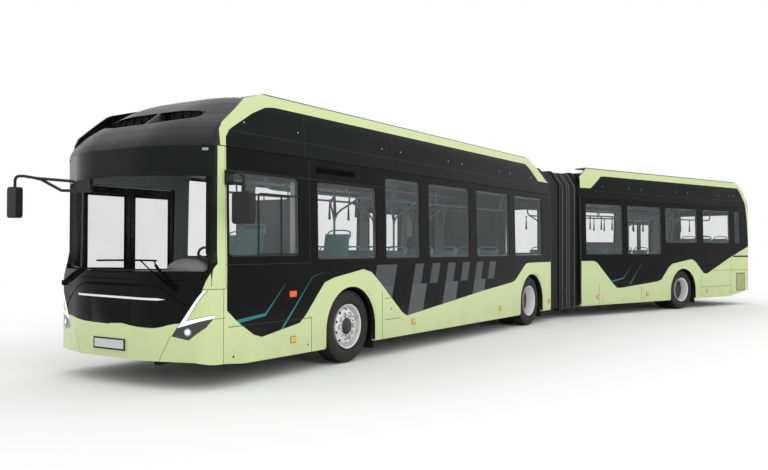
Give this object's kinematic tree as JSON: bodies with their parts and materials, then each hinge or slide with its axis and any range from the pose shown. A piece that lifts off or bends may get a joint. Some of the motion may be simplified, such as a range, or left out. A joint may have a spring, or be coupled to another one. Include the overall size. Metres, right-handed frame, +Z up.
{
  "type": "articulated battery-electric city bus",
  "caption": "Low-floor articulated city bus with a front and a rear section joined by a turntable and bellows, steered front wheels, twin driven wheels and swinging door leaves.",
  "frame": {"origin": "on the ground, under the middle of the whole bus's box in the bend of the picture", "axes": "-Y is the way the front section faces, +X is its left side, +Z is up"},
  "size_m": [5.3348, 18.9295, 3.3],
  "materials": {
    "body_panel": "satin two-colour paint, lime green and black",
    "roof_panel": "black roof skins and caps",
    "glass": "tinted safety glass",
    "lamp": "clear lamp covers",
    "tail_lamp": "red lamp covers",
    "trim": "black moulded trim",
    "tyre": "tyre rubber",
    "rim": "silver paint",
    "chassis": "black chassis paint",
    "floor": "floor covering on plywood and steel",
    "seat": "teal seat cover on a moulded shell",
    "handrail": "teal powder coat",
    "bellows": "coated fabric folds",
    "hoop": "aluminium section",
    "roof_unit": "grey covers"
  },
  "bodies": {
    "front_body": {"front_left_wall": "body_panel", "front_right_wall": "body_panel", "front_mask": "body_panel", "front_fairings": "body_panel", "front_cap": "roof_panel", "front_roof": "roof_panel", "front_roof_units": "roof_unit", "front_windows": "glass", "windscreen": "glass", "headlamps": "lamp", "mirrors": "trim", "wipers": "trim", "dashboard": "trim", "cab_screen": "trim", "front_floor": "floor", "front_seats": "seat", "front_handrails": "handrail", "front_underframe": "chassis", "front_axle": "chassis", "middle_axle": "chassis", "front_portal": "hoop", "bellows": "bellows"},
    "rear_body": {"rear_left_wall": "body_panel", "rear_right_wall": "body_panel", "tail_panel": "body_panel", "rear_fairings": "body_panel", "rear_roof": "roof_panel", "rear_roof_units": "roof_unit", "rear_windows": "glass", "tail_lamps": "tail_lamp", "rear_floor": "floor", "rear_seats": "seat", "rear_handrails": "handrail", "rear_underframe": "chassis", "rear_axle": "chassis", "rear_portal": "hoop"},
    "knuckle_left": {"knuckle_left": "chassis"},
    "knuckle_right": {"knuckle_right": "chassis"},
    "mid_hoop": {"mid_hoop": "hoop"},
    "wheel_front_left": {"tyre_front_left": "tyre", "rim_front_left": "rim"},
    "wheel_front_right": {"tyre_front_right": "tyre", "rim_front_right": "rim"},
    "wheel_middle_left": {"tyre_middle_left": "tyre", "rim_middle_left": "rim"},
    "wheel_middle_right": {"tyre_middle_right": "tyre", "rim_middle_right": "rim"},
    "wheel_rear_left": {"tyre_rear_left": "tyre", "rim_rear_left": "rim"},
    "wheel_rear_right": {"tyre_rear_right": "tyre", "rim_rear_right": "rim"},
    "front_door_fore_leaf": {"front_door_fore": "body_panel"},
    "front_door_aft_leaf": {"front_door_aft": "body_panel"},
    "mid_door_fore_leaf": {"mid_door_fore": "body_panel"},
    "mid_door_aft_leaf": {"mid_door_aft": "body_panel"},
    "rear_door_fore_leaf": {"rear_door_fore": "body_panel"},
    "rear_door_aft_leaf": {"rear_door_aft": "body_panel"}
  },
  "joints": [
    {"name": "articulation", "type": "hinge", "parent": "front_body", "child": "rear_body", "pos_m": [-1.14042, 1.53624, 0.3], "axis": [0, 0, 1], "range_deg": [-34.7, 73.3], "deforming": ["bellows"]},
    {"name": "hoop_turn", "type": "hinge", "parent": "front_body", "child": "mid_hoop", "pos_m": [-1.14042, 1.53624, 0.3], "axis": [0, 0, 1], "range_deg": [-17.4, 36.7]},
    {"name": "steer_left", "type": "hinge", "parent": "front_body", "child": "knuckle_left", "pos_m": [-0.14042, -6.39376, 0.478], "axis": [0, 0, 1], "range_deg": [-45, 45]},
    {"name": "steer_right", "type": "hinge", "parent": "front_body", "child": "knuckle_right", "pos_m": [-2.14042, -6.39376, 0.478], "axis": [0, 0, 1], "range_deg": [-45, 45]},
    {"name": "spin_front_left", "type": "hinge", "parent": "knuckle_left", "child": "wheel_front_left", "pos_m": [-0.04292, -6.39376, 0.478], "axis": [1, 0, 0], "continuous": true},
    {"name": "spin_front_right", "type": "hinge", "parent": "knuckle_right", "child": "wheel_front_right", "pos_m": [-2.23792, -6.39376, 0.478], "axis": [1, 0, 0], "continuous": true},
    {"name": "spin_middle_left", "type": "hinge", "parent": "front_body", "child": "wheel_middle_left", "pos_m": [-0.19792, -0.39376, 0.478], "axis": [1, 0, 0], "continuous": true},
    {"name": "spin_middle_right", "type": "hinge", "parent": "front_body", "child": "wheel_middle_right", "pos_m": [-2.08292, -0.39376, 0.478], "axis": [1, 0, 0], "continuous": true},
    {"name": "spin_rear_left", "type": "hinge", "parent": "rear_body", "child": "wheel_rear_left", "pos_m": [1.31905, 5.70779, 0.478], "axis": [0.9438, -0.3305, 0], "continuous": true},
    {"name": "spin_rear_right", "type": "hinge", "parent": "rear_body", "child": "wheel_rear_right", "pos_m": [-0.46001, 6.33081, 0.478], "axis": [0.9438, -0.3305, 0], "continuous": true},
    {"name": "front_door_fore_swing", "type": "hinge", "parent": "front_body", "child": "front_door_fore_leaf", "pos_m": [-2.37442, -8.63676, 1.3], "axis": [0, 0, -1], "range_deg": [0, 90]},
    {"name": "front_door_aft_swing", "type": "hinge", "parent": "front_body", "child": "front_door_aft_leaf", "pos_m": [-2.37442, -7.22076, 1.3], "axis": [0, 0, 1], "range_deg": [0, 90]},
    {"name": "mid_door_fore_swing", "type": "hinge", "parent": "front_body", "child": "mid_door_fore_leaf", "pos_m": [-2.37442, -2.38676, 1.3], "axis": [0, 0, -1], "range_deg": [0, 90]},
    {"name": "mid_door_aft_swing", "type": "hinge", "parent": "front_body", "child": "mid_door_aft_leaf", "pos_m": [-2.37442, -1.25076, 1.3], "axis": [0, 0, 1], "range_deg": [0, 90]},
    {"name": "rear_door_fore_swing", "type": "hinge", "parent": "rear_body", "child": "rear_door_fore_leaf", "pos_m": [-0.31967, 7.61351, 1.3], "axis": [0, 0, -1], "range_deg": [0, 90]},
    {"name": "rear_door_aft_swing", "type": "hinge", "parent": "rear_body", "child": "rear_door_aft_leaf", "pos_m": [0.03266, 8.6196, 1.3], "axis": [0, 0, 1], "range_deg": [0, 90]}
  ],
  "couplings": [
    {"joint": "hoop_turn", "follows": "articulation", "ratio": 0.5},
    {"joint": "steer_right", "follows": "steer_left", "ratio": 1},
    {"joint": "front_door_aft_swing", "follows": "front_door_fore_swing", "ratio": 1},
    {"joint": "mid_door_aft_swing", "follows": "mid_door_fore_swing", "ratio": 1},
    {"joint": "rear_door_aft_swing", "follows": "rear_door_fore_swing", "ratio": 1}
  ]
}
